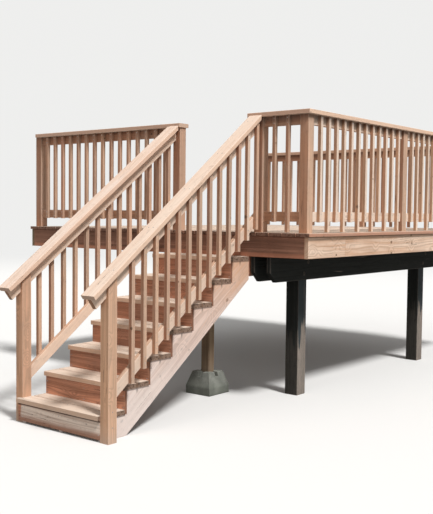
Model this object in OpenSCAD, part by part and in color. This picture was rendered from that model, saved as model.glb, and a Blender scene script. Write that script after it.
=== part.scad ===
/* [Stair] */
// Rise of each step below the top one
step_rise = 190.5; // [170:0.5:200]
// Rise of the first step from the ground
first_rise = 205; // [185:1:215]
// Run from one riser face to the next
step_run = 265; // [240:1:300]
// Width over the outer faces of the outside stringers
stair_width = 940; // [800:1:1200]
// How far a tread stands out past the riser below it
nosing = 23; // [10:1:32]
// Width of the front one of a tread's two boards
tread_front = 150; // [140:1:160]
// Thickness of a riser board
riser_thick = 19; // [15:1:25]
// Width of the plank that a stringer is sawn from
stringer_depth = 286; // [260:1:300]

/* [Lumber] */
// Thickness of planks, treads, rims, rails and caps
plank = 38; // [34:0.5:44]
// Thickness of the deck boards
deck_thick = 30; // [25:0.5:38]
// Width of a deck or cap board
board_width = 140; // [120:1:150]
// Width of a rail board
rail_width = 89; // [80:1:100]
// Side of a railing post
post_size = 89; // [80:1:100]
// Side of a square baluster
baluster_size = 35; // [30:1:38]
// Side of a post under the beam
beam_post_size = 140; // [120:1:150]

/* [Deck] */
// Length of the deck along the house wall
deck_length = 4400; // [4200:10:4800]
// Depth of the deck from its front rim to the wall
deck_depth = 3730; // [3600:10:4000]
// From the front rim to the near side of the stair
stair_offset = 640; // [600:5:700]
// Height of rim, joists and ledger
rim_height = 192; // [170:1:200]
// How far the deck boards stand out past the rims
deck_overhang = 25; // [10:1:40]
// Height of the two planks of the beam
beam_height = 235; // [184:1:286]
// Size of the clipped lower corners of the beam
beam_clip = 90; // [40:1:120]

/* [Railing] */
// Height of the cap above the deck
rail_height = 1084; // [1000:1:1120]
// How much lower the railings left of the stair are
left_drop = 38; // [0:1:60]
// Rise over run of the stair railings
rail_slope = 0.735; // [0.71:0.005:0.76]
// Clear height under the bottom rails on the deck
rail_clearance = 101; // [60:1:120]
// How far the right stair cap runs on past its newel
right_overrun = 175; // [60:1:190]
// How far the left stair cap runs on past its newel
left_overrun = 135; // [60:1:190]
// Turn in degrees of the left stair railing towards the right one
left_turn = 1; // [0:0.1:2]

/* [Hidden] */
steps = 7;
post_inset = plank;
top_rise = deck_thick + rim_height;
wall_y = deck_depth - stair_offset;
front_y = -stair_offset;
ledger_middle = deck_thick + rim_height / 2;

// heights of the steps and the ground, from the deck boards' top
function tread_top(k) = -top_rise - (steps - k) * step_rise;
function seat(k) = tread_top(k) - plank;
function riser_face(k) = -(steps + 1 - k) * step_run;
function saw_line(k) = k > steps ? 0 : riser_face(k) + riser_thick;
ground = tread_top(1) - first_rise;
stair_slope = step_rise / step_run;
riser_height = 184;
toe_board = 150;
tread_depth = step_run + nosing;
tread_gap = 12;

// underside of a stringer, and where it meets the ground
function stringer_under(x) = seat(steps) + (x - saw_line(steps)) * stair_slope
    - stringer_depth * sqrt(1 + stair_slope * stair_slope);
stringer_heel = saw_line(steps) + (ground - seat(steps)
    + stringer_depth * sqrt(1 + stair_slope * stair_slope)) / stair_slope;

// railing posts, rails and balusters in plan
newel_right = [riser_face(1), -post_size];
newel_left = [riser_face(1) + riser_thick, stair_width];
right_toe = riser_face(1) - right_overrun;
left_toe = riser_face(1) - left_overrun;
stair_post_right_y = newel_right[1] - 25;
stair_post_left_y = newel_left[1] - 55;
wall_post_y = wall_y - post_size - 22;
front_post_xs = [post_inset, 1865, 3079, deck_length - post_inset - post_size];
front_post_y = front_y + post_inset;
end_post_x = deck_length - post_inset - post_size;
end_post_y = (front_post_y + wall_post_y) / 2;
cap_edge = post_inset + post_size / 2 - board_width / 2;
rail_in = (post_size - plank) / 2;
short_cap_end = 47;
left_cap_start = stair_post_left_y - 10;
wall_gap = 40;
turn_gap = 2;

// heights of the railings on the deck
cap_under = rail_height - plank;
baluster_lift = 6;
front_counts = [12, 8, 8];
short_count = 2;
left_count = 15;
end_count = 12;

// the stair railing: cap line, bottom rail line and spacing
rail_factor = sqrt(1 + rail_slope * rail_slope);
cap_meet = 1060;
low_rail_meet = 48;
function cap_line(x) = cap_meet + rail_slope * (x - cap_edge);
function low_line(x) = low_rail_meet + rail_slope * x;
first_baluster = -30;
baluster_pairs = steps - 1;

// the stair end support
header_height = 184;
support_y = 500;
pier_height = 214;
pier_base = 300;
pier_top = 210;
socket_depth = 45;
socket_play = 2;

// the beam and its posts
beam_y = front_y + 405;
beam_inset = 10;
beam_post_xs = [533, 3130];

// joists, deck boards and front rim
joist_spacing = 400;
joist_count = floor(deck_length / joist_spacing) - (deck_length % joist_spacing == 0 ? 1 : 0);
board_count = 26;
board_gap = (deck_depth + deck_overhang - board_count * board_width) / (board_count - 1);
rim_joint = 640;
saw_gap = 2;
notch_gap = 3;

cedar = [0.76, 0.58, 0.44];
cap_wood = [0.90, 0.79, 0.68];
riser_wood = [0.55, 0.36, 0.28];
tread_wood = [0.75, 0.66, 0.57];
stringer_wood = [0.86, 0.78, 0.73];
rim_wood = [0.80, 0.63, 0.49];
dark_paint = [0.18, 0.20, 0.19];
concrete = [0.66, 0.65, 0.61];

// moves the deck's corner frame to the middle of the ledger's back face
module at_wall() {
    translate([-deck_length / 2, -wall_y, ledger_middle]) children();
}

// a sawn board from a low corner and its three sides
module board(corner, size) {
    translate(corner) cube(size);
}

// an outline drawn in X and Z, given its thickness along Y
module side_profile(y, thick) {
    translate([0, y + thick, 0]) rotate([90, 0, 0]) linear_extrude(height = thick) children();
}

module stringer(y) {
    teeth = [for (k = [1:steps]) each [[saw_line(k), seat(k)], [saw_line(k + 1), seat(k)]]];
    color(stringer_wood) at_wall() side_profile(y, plank) polygon(concat(
        [[saw_line(1), ground]],
        teeth,
        [[0, stringer_under(0)], [stringer_heel, ground]]
    ));
}

module stringer_right() {
    stringer(0);
}

module stringer_middle() {
    stringer((stair_width - plank) / 2);
}

module stringer_left() {
    stringer(stair_width - plank);
}

module tread_back(k) {
    start = riser_face(k) - nosing + tread_front + tread_gap;
    board([start, 0, seat(k)], [tread_depth - tread_front - tread_gap, stair_width, plank]);
}

// two boards with an open joint between them
module tread(k) {
    color(tread_wood) at_wall() {
        board([riser_face(k) - nosing, 0, seat(k)], [tread_front, stair_width, plank]);
        tread_back(k);
    }
}

// the lowest tread runs on in front of the left newel
module tread_1() {
    front = riser_face(1) - nosing;
    newel_end = newel_left[1] + post_size;
    color(tread_wood) at_wall() {
        translate([0, 0, seat(1)]) linear_extrude(height = plank) polygon([
            [front, 0],
            [front + tread_front, 0],
            [front + tread_front, stair_width],
            [newel_left[0] - notch_gap, stair_width],
            [newel_left[0] - notch_gap, newel_end],
            [front, newel_end]
        ]);
        tread_back(1);
    }
}

module tread_2() {
    tread(2);
}

module tread_3() {
    tread(3);
}

module tread_4() {
    tread(4);
}

module tread_5() {
    tread(5);
}

module tread_6() {
    tread(6);
}

module tread_7() {
    tread(7);
}

module riser_boards() {
    color(riser_wood) at_wall() {
        board([riser_face(1), 0, seat(1) - toe_board], [riser_thick, stair_width + post_size, toe_board]);
        for (k = [2:steps]) {
            board([riser_face(k), 0, seat(k) - riser_height], [riser_thick, stair_width, riser_height]);
        }
    }
}

// the left railing isn't quite square to the deck: it turns about its newel
module left_railing_turn() {
    pivot = [newel_left[0] + post_size / 2, newel_left[1] + post_size / 2, 0];
    translate(pivot) rotate([0, 0, -left_turn]) translate(-pivot) children();
}

// the newel's top follows the rail and is slotted for the upper rail
module newel(place, drop) {
    head = place[0];
    tail = head + post_size;
    under = plank * rail_factor + drop;
    slot_under = (plank + rail_width) * rail_factor + drop;
    color(cedar) difference() {
        side_profile(place[1], post_size) polygon([
            [head, ground],
            [tail, ground],
            [tail, cap_line(tail) - under],
            [head, cap_line(head) - under]
        ]);
        side_profile(place[1] + rail_in, plank) polygon([
            [head - 1, cap_line(head - 1) - slot_under],
            [tail + 1, cap_line(tail + 1) - slot_under],
            [tail + 1, cap_line(tail + 1)],
            [head - 1, cap_line(head - 1)]
        ]);
    }
}

module newel_right() {
    at_wall() newel(newel_right, 0);
}

module newel_left() {
    at_wall() left_railing_turn() newel(newel_left, left_drop);
}

// a board along the rail slope between two depths below the cap line, its
// low end cut square at the toe and its high end cut plumb
module sloped_board(y, thick, upper, lower, toe, high_x, drop) {
    side_profile(y, thick) polygon([
        [toe + upper * rail_slope / rail_factor, cap_line(toe) - drop - upper / rail_factor],
        [toe + lower * rail_slope / rail_factor, cap_line(toe) - drop - lower / rail_factor],
        [high_x, cap_line(high_x) - drop - lower * rail_factor],
        [high_x, cap_line(high_x) - drop - upper * rail_factor]
    ]);
}

module stair_cap(newel_y, toe, high_x, drop) {
    color(cap_wood)
        sloped_board(newel_y + post_size / 2 - board_width / 2, board_width, 0, plank, toe, high_x, drop);
}

module stair_cap_right() {
    at_wall() stair_cap(newel_right[1], right_toe, cap_edge, 0);
}

module stair_cap_left() {
    at_wall() left_railing_turn() stair_cap(newel_left[1], left_toe, cap_edge - turn_gap, left_drop);
}

// the upper rail runs through the newel's slot, the bottom rail butts it
module stair_rails(y, toe, low_x, high_x, drop) {
    sloped_board(y, plank, plank, plank + rail_width, toe, high_x, drop);
    side_profile(y, plank) polygon([
        [low_x, low_line(low_x)],
        [high_x, low_line(high_x)],
        [high_x, low_line(high_x) + rail_width * rail_factor],
        [low_x, low_line(low_x) + rail_width * rail_factor]
    ]);
}

// two balusters for each step, cut square below and to the slope above
module stair_balusters(y, drop) {
    for (i = [0:baluster_pairs * 2]) {
        x = first_baluster - i * step_run / 2;
        side_profile(y, baluster_size) polygon([
            [x, low_line(x)],
            [x + baluster_size, low_line(x)],
            [x + baluster_size, cap_line(x + baluster_size) - plank * rail_factor - drop],
            [x, cap_line(x) - plank * rail_factor - drop]
        ]);
    }
}

module stair_panel_right() {
    rail_y = newel_right[1] + rail_in;
    color(cedar) at_wall() {
        stair_rails(rail_y, right_toe, newel_right[0] + post_size, post_inset, 0);
        stair_balusters(rail_y - baluster_size, 0);
    }
}

module stair_panel_left() {
    rail_y = newel_left[1] + rail_in;
    color(cedar) at_wall() left_railing_turn() {
        stair_rails(rail_y, left_toe, newel_left[0] + post_size, post_inset - turn_gap, left_drop);
        stair_balusters(rail_y + plank, left_drop);
    }
}

// the plank under the end rim that the stringers are nailed to
module stringer_header() {
    color(rim_wood) at_wall()
        board([0, 0, -top_rise - header_height], [plank, stair_width, header_height]);
}

module header_cleats() {
    length = rim_height + header_height;
    color(rim_wood) at_wall() for (y = [0, stair_width - rail_width]) {
        board([plank, y, -top_rise - header_height], [plank, rail_width, length]);
    }
}

module support_post() {
    foot = ground + pier_height - socket_depth;
    color(cedar) at_wall()
        board([post_inset, support_y, foot], [post_size, post_size, -deck_thick - foot]);
}

// a precast footing, narrower at the top on all four sides
module pier_body() {
    outline = [
        [-pier_base / 2, 0], [pier_base / 2, 0], [pier_base / 2, pier_height * 0.35],
        [pier_top / 2, pier_height], [-pier_top / 2, pier_height], [-pier_base / 2, pier_height * 0.35]
    ];
    intersection() {
        side_profile(-pier_base / 2, pier_base) polygon(outline);
        rotate([0, 0, 90]) side_profile(-pier_base / 2, pier_base) polygon(outline);
    }
}

// its top has a socket for the post and crossed slots for a plank on edge
module pier_block() {
    socket = post_size + 2 * socket_play;
    slot = plank + 2 * socket_play;
    floor_z = pier_height - socket_depth;
    deep = socket_depth + 1;
    centre = [post_inset + post_size / 2, support_y + post_size / 2, ground];
    color(concrete) at_wall() translate(centre) difference() {
        pier_body();
        board([-socket / 2, -socket / 2, floor_z], [socket, socket, deep]);
        board([-pier_base / 2, -slot / 2, floor_z], [pier_base, slot, deep]);
        board([-slot / 2, -pier_base / 2, floor_z], [slot, pier_base, deep]);
    }
}

// square holes through the boards for every railing post
module post_notches() {
    side = post_size + 2 * notch_gap;
    spots = concat(
        [for (x = front_post_xs) [x, front_post_y]],
        [[post_inset, stair_post_right_y], [post_inset, stair_post_left_y], [post_inset, wall_post_y]],
        [[end_post_x, end_post_y], [end_post_x, wall_post_y]]
    );
    for (spot = spots) {
        board([spot[0] - notch_gap, spot[1] - notch_gap, -deck_thick - 1], [side, side, deck_thick + 2]);
    }
}

module deck_boards() {
    color(tread_wood) at_wall() difference() {
        for (i = [0:board_count - 1]) {
            y = front_y - deck_overhang + i * (board_width + board_gap);
            board([-deck_overhang, y, -deck_thick], [deck_length + 2 * deck_overhang, board_width, deck_thick]);
        }
        post_notches();
    }
}

// two lengths, butted near the stair corner
module front_rim() {
    color(rim_wood) at_wall() {
        board([0, front_y, -top_rise], [rim_joint - saw_gap / 2, plank, rim_height]);
        board([rim_joint + saw_gap / 2, front_y, -top_rise],
            [deck_length - rim_joint - saw_gap / 2, plank, rim_height]);
    }
}

module end_rim(x) {
    color(rim_wood) at_wall()
        board([x, front_y + plank, -top_rise], [plank, deck_depth - 2 * plank, rim_height]);
}

module end_rim_left() {
    end_rim(0);
}

module end_rim_right() {
    end_rim(deck_length - plank);
}

module ledger() {
    color(rim_wood) at_wall() board([0, wall_y - plank, -top_rise], [deck_length, plank, rim_height]);
}

module joists() {
    color(rim_wood) at_wall() for (i = [1:joist_count]) {
        board([i * joist_spacing - plank / 2, front_y + plank, -top_rise],
            [plank, deck_depth - 2 * plank, rim_height]);
    }
}

// a plank on each side of the posts, with both lower corners clipped
module beam_planks() {
    low = -top_rise - beam_height;
    outline = [
        [beam_inset, -top_rise], [beam_inset, low + beam_clip], [beam_inset + beam_clip, low],
        [deck_length - beam_inset - beam_clip, low], [deck_length - beam_inset, low + beam_clip],
        [deck_length - beam_inset, -top_rise]
    ];
    color(dark_paint) at_wall() {
        side_profile(beam_y, plank) polygon(outline);
        side_profile(beam_y + plank + beam_post_size, plank) polygon(outline);
    }
}

module beam_post(x) {
    color(dark_paint) at_wall()
        board([x, beam_y + plank, ground], [beam_post_size, beam_post_size, -top_rise - ground]);
}

module beam_post_left() {
    beam_post(beam_post_xs[0]);
}

module beam_post_right() {
    beam_post(beam_post_xs[1]);
}

// a railing post bolted inside the rim, up to the underside of the cap
module rail_post(x, y, drop) {
    board([x, y, -top_rise], [post_size, post_size, cap_under - drop + top_rise]);
}

module stair_post_right() {
    color(cedar) at_wall() rail_post(post_inset, stair_post_right_y, 0);
}

module stair_post_left() {
    color(cedar) at_wall() rail_post(post_inset, stair_post_left_y, left_drop);
}

module front_posts() {
    color(cedar) at_wall() for (x = front_post_xs) {
        rail_post(x, front_post_y, 0);
    }
}

module side_posts() {
    color(cedar) at_wall() {
        rail_post(post_inset, wall_post_y, left_drop);
        rail_post(end_post_x, end_post_y, 0);
        rail_post(end_post_x, wall_post_y, 0);
    }
}

// a flat cap board with its plan drawn as a polygon
module cap(plan, drop) {
    color(cap_wood) at_wall() translate([0, 0, cap_under - drop])
        linear_extrude(height = plank) polygon(plan);
}

cap_front_y = front_y + cap_edge;
cap_wall_y = wall_y - wall_gap;

module cap_front() {
    cap([
        [cap_edge, cap_front_y],
        [deck_length - cap_edge, cap_front_y],
        [deck_length - cap_edge - board_width, cap_front_y + board_width],
        [cap_edge + board_width, cap_front_y + board_width]
    ], 0);
}

module cap_short() {
    cap([
        [cap_edge, cap_front_y],
        [cap_edge + board_width, cap_front_y + board_width],
        [cap_edge + board_width, short_cap_end],
        [cap_edge, short_cap_end]
    ], 0);
}

module cap_left() {
    cap([
        [cap_edge, left_cap_start],
        [cap_edge + board_width, left_cap_start],
        [cap_edge + board_width, cap_wall_y],
        [cap_edge, cap_wall_y]
    ], left_drop);
}

module cap_right() {
    cap([
        [deck_length - cap_edge, cap_front_y],
        [deck_length - cap_edge, cap_wall_y],
        [deck_length - cap_edge - board_width, cap_wall_y],
        [deck_length - cap_edge - board_width, cap_front_y + board_width]
    ], 0);
}

// a railing bay seen from the front: two rails with balusters on their near
// side, spread evenly over the length
module bay(length, count, drop) {
    gap = (length - count * baluster_size) / (count + 1);
    top = cap_under - drop;
    board([0, 0, rail_clearance], [length, plank, rail_width]);
    board([0, 0, top - rail_width], [length, plank, rail_width]);
    for (i = [0:count - 1]) {
        board([gap + i * (gap + baluster_size), -baluster_size, baluster_lift],
            [baluster_size, baluster_size, top - baluster_lift]);
    }
}

module front_bay(i) {
    x = front_post_xs[i] + post_size;
    translate([x, front_post_y + rail_in, 0]) bay(front_post_xs[i + 1] - x, front_counts[i], 0);
}

// the bays of the stair end look towards -X
module stair_end_bay(y1, y2, count, drop) {
    translate([post_inset + rail_in, y2, 0]) rotate([0, 0, -90]) bay(y2 - y1, count, drop);
}

// the bays of the far end look towards +X
module right_end_bay(y1, y2) {
    translate([end_post_x + rail_in + plank, y1, 0]) rotate([0, 0, 90]) bay(y2 - y1, end_count, 0);
}

module front_panels() {
    color(cedar) at_wall() for (i = [0:len(front_counts) - 1]) {
        front_bay(i);
    }
}

module stair_end_panels() {
    color(cedar) at_wall() {
        stair_end_bay(front_post_y + post_size, stair_post_right_y, short_count, 0);
        stair_end_bay(stair_post_left_y + post_size, wall_post_y, left_count, left_drop);
    }
}

module right_end_panels() {
    color(cedar) at_wall() {
        right_end_bay(front_post_y + post_size, end_post_y);
        right_end_bay(end_post_y + post_size, wall_post_y);
    }
}

stringer_right();
stringer_middle();
stringer_left();
tread_1();
tread_2();
tread_3();
tread_4();
tread_5();
tread_6();
tread_7();
riser_boards();
newel_right();
newel_left();
stair_cap_right();
stair_cap_left();
stair_panel_right();
stair_panel_left();
stringer_header();
header_cleats();
support_post();
pier_block();
deck_boards();
front_rim();
end_rim_left();
end_rim_right();
ledger();
joists();
beam_planks();
beam_post_left();
beam_post_right();
stair_post_right();
stair_post_left();
front_posts();
side_posts();
cap_front();
cap_short();
cap_left();
cap_right();
front_panels();
stair_end_panels();
right_end_panels();
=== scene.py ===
"""Dresses a timber deck and its stairs: eased boards, screws, brackets and weathered finishes."""

import math
import random
from collections import namedtuple
from itertools import product

import bmesh
import bpy
from mathutils import Matrix, Vector


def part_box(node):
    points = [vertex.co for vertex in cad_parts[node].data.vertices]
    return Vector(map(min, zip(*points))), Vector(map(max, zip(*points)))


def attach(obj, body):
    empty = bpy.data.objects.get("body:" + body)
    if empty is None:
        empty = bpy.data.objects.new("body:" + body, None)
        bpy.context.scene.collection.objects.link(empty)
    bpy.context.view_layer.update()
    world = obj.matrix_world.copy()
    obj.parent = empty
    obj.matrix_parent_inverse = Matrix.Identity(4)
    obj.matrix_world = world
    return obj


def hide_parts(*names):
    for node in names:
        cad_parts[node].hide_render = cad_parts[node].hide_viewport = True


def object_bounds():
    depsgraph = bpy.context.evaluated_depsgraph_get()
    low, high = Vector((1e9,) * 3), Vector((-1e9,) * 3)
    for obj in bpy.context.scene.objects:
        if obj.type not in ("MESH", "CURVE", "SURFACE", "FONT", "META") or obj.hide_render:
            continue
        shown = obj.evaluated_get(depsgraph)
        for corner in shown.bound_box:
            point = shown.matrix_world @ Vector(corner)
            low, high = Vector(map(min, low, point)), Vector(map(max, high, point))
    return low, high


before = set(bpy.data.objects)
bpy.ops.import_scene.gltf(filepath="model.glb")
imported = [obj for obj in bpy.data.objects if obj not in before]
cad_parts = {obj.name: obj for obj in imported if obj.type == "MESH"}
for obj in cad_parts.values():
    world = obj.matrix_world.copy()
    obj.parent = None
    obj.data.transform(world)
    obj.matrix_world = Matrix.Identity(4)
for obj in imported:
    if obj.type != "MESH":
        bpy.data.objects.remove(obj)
CAD_LOW, CAD_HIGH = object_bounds()

bl_info = {
    "name": "Timber deck and stairs",
    "version": (1, 0, 0),
    "blender": (4, 5, 0),
    "location": "3D View > Sidebar > Deck",
    "description": "Boards, fixings and weathered finishes of a timber deck with stairs",
    "category": "Object",
}

GROUND = CAD_LOW.z
BODY = "root"
UP = Vector((0, 0, 1))
# corners closer than this are one corner of a CAD mesh
WELD = 0.00005
# from the balusters' feet up to the underside of the bottom rail
BOTTOM_RAIL_LIFT = 0.095
# how far a short baluster runs on below the bottom rail
BALUSTER_PAST_RAIL = 0.004

# the finish that each CAD node's boards take
FINISH_OF = {
    node: finish
    for nodes, finish in (
        ("stringer_right stringer_middle stringer_left", "stringer_wood"),
        ("riser_boards", "riser_wood"),
        ("newel_right newel_left", "newel_wood"),
        ("stair_cap_right stair_cap_left", "cap_wood"),
        ("stringer_header", "end_rim_wood"),
        ("header_cleats support_post", "frame_wood"),
        ("deck_boards", "deck_wood"),
        ("front_rim", "rim_wood"),
        ("end_rim_left", "end_rim_wood"),
        ("end_rim_right", "rim_wood"),
        ("ledger joists", "frame_wood"),
        ("beam_planks beam_post_left beam_post_right", "dark_paint"),
        ("stair_post_right stair_post_left front_posts side_posts", "railing_wood"),
        ("cap_front cap_short cap_left cap_right", "cap_wood"),
        ("tread_1 tread_2 tread_3 tread_4 tread_5 tread_6 tread_7", "tread_wood"),
    )
    for node in nodes.split()
}
# finishes whose slot has another name; make_piece looks the slot up but does not use it
SLOT_OF = {"deck_wood": "tread_wood", "newel_wood": "railing_wood", "front_wood": "railing_wood"}
# where a board lies between its finish's light and dark tones, for boards whose tone the photograph tells
TONE_OF = {
    "stair_cap_right": 0.11, "stair_cap_left": 0.61, "newel_right": 0.12, "newel_left": 0.27,
    "front_posts": 0.25}
RAIL_TONE = 0.02
# a deck railing: the axis that it runs along, the side of its balusters, the setting with their numbers,
# and for each bay the first of the balusters that reach the deck, every second one, or None where none do
DeckPanels = namedtuple("DeckPanels", "axis outward setting finish first_long")
DECK_PANELS = {
    "front_panels": DeckPanels(0, -1, "front_counts", "front_wood", (1, 1, 1)),
    "stair_end_panels": DeckPanels(1, -1, "stair_end_counts", "railing_wood", (0, None)),
    "right_end_panels": DeckPanels(1, 1, "far_end_counts", "railing_wood", (1, 1)),
}
# each stair railing: panel, cap, newel, side of the balusters, from the rails' upper end to the first
# baluster, turned or not
STAIR_RAILINGS = (
    ("stair_panel_right", "stair_cap_right", "newel_right", -1, 0.068, False),
    ("stair_panel_left", "stair_cap_left", "newel_left", 1, 0.066, True),
)


# sizes and colours that a user would change


def length(name, description, default, **limits):
    return bpy.props.FloatProperty(
        name=name, description=description, default=default, unit="LENGTH", **limits)


def number(name, description, default):
    return bpy.props.FloatProperty(name=name, description=description, default=default)


def angle(name, description, degrees):
    return bpy.props.FloatProperty(
        name=name, description=description, default=math.radians(degrees), subtype="ANGLE", unit="ROTATION")


def counts(name, description, default):
    return bpy.props.IntVectorProperty(
        name=name, description=description, default=default, size=len(default))


def direction(name, description, default):
    return bpy.props.FloatVectorProperty(
        name=name, description=description, default=default, size=3, subtype="DIRECTION")


def colour(name, description, default):
    return bpy.props.FloatVectorProperty(
        name=name, description=description, default=default, size=3, min=0.0, max=1.0, subtype="COLOR")


class DeckLumberSizes(bpy.types.PropertyGroup):
    eased_edge: length(
        "Eased edge", "Radius on the long edges of a sawn board", 0.0035, min=0.0005, max=0.008)
    bow: length("Bow", "How far a long board strays from a straight line", 0.0018, min=0.0, max=0.006)
    bow_length: length(
        "Length between stations", "Spacing of the loops that let a board bow", 0.4, min=0.1, max=2.0)
    plank: length("Plank", "Thickness of rails and caps", 0.038)
    rail_width: length("Rail width", "Depth of the upper and bottom rails", 0.089)
    baluster: length("Baluster", "Side of a square baluster", 0.035)
    newel_reveal: length(
        "Newel reveal", "How much of the left newel shows beside the lowest step's boards", 0.056, min=0.0)


class DeckRailingLayout(bpy.types.PropertyGroup):
    front_counts: counts("Front bays", "Balusters in each bay of the front, from the stair end", (12, 8, 8))
    stair_end_counts: counts(
        "Stair end bays", "Balusters in the short and the long bay of the stair end", (2, 15))
    far_end_counts: counts("Far end bays", "Balusters in the two bays of the far end", (12, 12))
    stair_count: bpy.props.IntProperty(
        name="Stair balusters", description="Balusters in each stair railing", default=13)
    stair_spacing: length("Stair baluster spacing", "Along the run of the stairs", 0.1325)
    slope: number("Rail slope", "Rise over run of the stair railings", 0.735)
    left_turn: angle(
        "Left turn", "Turn of the left stair railing about its newel, towards the right one", 1.0)


class DeckFixingSizes(bpy.types.PropertyGroup):
    screw_radius: length("Screw head", "Radius of a deck screw's head", 0.0044)
    screw_lift: length("Screw lift", "How far a screw head stands proud", 0.0006)
    bolt_radius: length("Bolt head", "Radius of a beam bolt's hexagon head", 0.0105)
    sheet: length("Bracket sheet", "Thickness of a joist hanger's steel", 0.0018)


class DeckColours(bpy.types.PropertyGroup):
    tan: colour("Tan stain", "Balusters and posts", (0.740, 0.430, 0.265))
    rust: colour("Rust stain", "The redder boards", (0.500, 0.210, 0.125))
    red: colour("Red stain", "Risers", (0.700, 0.330, 0.205))
    dark: colour("Dark stain", "The shaded rims at the stair end", (0.280, 0.140, 0.094))
    # also the painted sunlight on the faces to -Y of the railings and newels
    bleached_and_sunlit: colour("Bleached and sunlit wood", "Faces that the sun has paled", (0.800, 0.615, 0.480))
    # also the painted sunlight on the faces to -Y of the front railing and of the rails
    sun_paled_and_lit: colour("Sunned and sunlit wood", "Tops that the sun has paled most", (0.880, 0.720, 0.590))
    silvered: colour("Silvered wood", "Pale wood that has lost its stain", (0.870, 0.760, 0.700))
    pink: colour("Bare wood", "Stringer planks", (0.840, 0.640, 0.545))
    worn: colour("Worn wood", "Trodden boards", (0.800, 0.630, 0.500))
    grey: colour("Grey wood", "Wood that rain has silvered", (0.480, 0.400, 0.335))
    cap_streak: colour("Cap streaks", "Darker streaks of the caps", (0.820, 0.580, 0.430))
    cap_side: colour("Cap edges", "Upright edges of the caps", (0.780, 0.500, 0.340))
    treated: colour("Treated wood", "Joists and other hidden timber", (0.400, 0.285, 0.185))
    treated_dark: colour("Treated streaks", "Darker streaks of the hidden timber", (0.200, 0.135, 0.085))
    end_grain: colour("End grain", "Open ends of treads and deck boards", (0.250, 0.165, 0.120))
    # also the colour of the painted shadow just below each tread on the stringers
    drip: colour("Drips and tread shadows", "Runs below the treads' ends", (0.070, 0.045, 0.035))
    paint: colour("Dark paint", "Beam and beam posts", (0.020, 0.021, 0.019))
    # painted sunlight: the paint's colour on the beam posts' faces to -Y below the beam
    sunlit_paint: colour("Sunlit paint", "Sunny faces of the beam posts", (0.062, 0.074, 0.078))
    concrete: colour("Concrete", "The footing block", (0.230, 0.235, 0.205))
    damp: colour("Damp concrete", "Foot of the footing block", (0.100, 0.110, 0.085))
    hole: colour("Air holes", "Holes in the concrete", (0.040, 0.040, 0.035))
    steel: colour("Galvanised steel", "Brackets and bolts", (0.450, 0.460, 0.470))
    rusted: colour("Rusted steel", "Where the zinc has gone", (0.160, 0.100, 0.070))


class DeckStageSettings(bpy.types.PropertyGroup):
    floor: colour("Floor", "Colour of the floor", (0.820, 0.810, 0.790))
    backdrop: colour("Backdrop", "Colour behind the object", (0.860, 0.860, 0.850))
    bounce: colour("Bounce", "Colour that the floor throws back on the object", (0.340, 0.335, 0.325))
    floor_radius: length("Floor radius", "How far the floor reaches", 120.0)
    fade_start: length("Fade start", "Where the floor starts to fade into the backdrop", 9.0)
    fade_end: length("Fade end", "Where the floor has faded into the backdrop", 24.0)
    ambient: number("Ambient", "Strength of the even light", 0.34)
    key: number("Key", "Strength of the soft main light", 3.2)
    key_from: direction("Key from", "Where the main light comes from", (-0.15, -0.55, 0.82))
    key_softness: angle("Key softness", "Width of the main light in the sky", 10.0)
    fill: number("Fill", "Strength of the light on the stair side", 0.5)
    fill_from: direction("Fill from", "Where the light on the stair side comes from", (-0.85, -0.15, 0.45))
    fill_softness: angle("Fill softness", "Width of the light on the stair side", 60.0)
    camera_place: bpy.props.FloatVectorProperty(
        name="Camera place", description="Where the camera stands", subtype="TRANSLATION", unit="LENGTH",
        default=(-8.4081, -7.6943, 0.2946))
    azimuth: angle("Azimuth", "Heading of the view, from +Y towards +X", 51.236)
    pitch: angle("Pitch", "Tilt of the view above the horizon", -2.963)
    roll: angle("Roll", "Turn of the view about its own line", 0.585)
    focal_share: number(
        "Focal length", "Focal length as a multiple of the picture's long side", 843.0 / 514.0)


def lumber():
    return bpy.context.scene.deck_lumber


def palette():
    return bpy.context.scene.deck_colours


# boards


def take(bm, work):
    """Adds a bmesh to another one and frees it."""
    mesh = bpy.data.meshes.new("part")
    work.to_mesh(mesh)
    work.free()
    bm.from_mesh(mesh)
    bpy.data.meshes.remove(mesh)


class BoardPiece:
    """Collects boards into one mesh, with each board's own coordinates kept for its grain."""

    def __init__(self, name):
        self.name = name
        self.bm = bmesh.new()
        self.random = random.Random(name)
        self.own, self.half, self.along, self.tone = [], [], [], []

    def add(self, work, place, half, tone=None):
        """Takes a closed board, its grain along place's X, its width along Y, its thickness along Z."""
        sizes = lumber()
        ease_edges(work, place, sizes.eased_edge)
        add_stations(work, place, half, sizes.bow_length)
        bow_board(work, place, half, sizes.bow, self.random)
        if tone is None:
            tone = self.random.random()
        along = place.col[0].to_3d()
        inverse = place.inverted()
        work.verts.index_update()
        for v in work.verts:
            self.own.extend(inverse @ v.co)
            self.half.extend(half)
            self.along.extend(along)
            self.tone.append(tone)
        take(self.bm, work)

    def saw(self, centre, along, across, size, cuts=(), tone=None, turn=Matrix()):
        """Adds a plain board, cut and turned. A cut is a point and the direction that it takes away."""
        half = Vector(size) / 2
        place = turn @ board_place(centre, along, across)
        cuts = [(turn @ Vector(point), turn.to_3x3() @ Vector(away)) for point, away in cuts]
        self.add(plain_board(place, half, cuts), place, half, tone)

    def finish(self, finish, *replaced):
        obj = make_piece(self.name, self.bm, finish)
        for name, values in (("own", self.own), ("half", self.half), ("along", self.along)):
            layer = obj.data.attributes.new(name, "FLOAT_VECTOR", "POINT")
            layer.data.foreach_set("vector", values)
        layer = obj.data.attributes.new("tone", "FLOAT", "POINT")
        layer.data.foreach_set("value", self.tone)
        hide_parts(*replaced)


def new_object(name, data):
    """An object of the scene at the origin."""
    obj = bpy.data.objects.new(name, data)
    bpy.context.scene.collection.objects.link(obj)
    return obj


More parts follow.
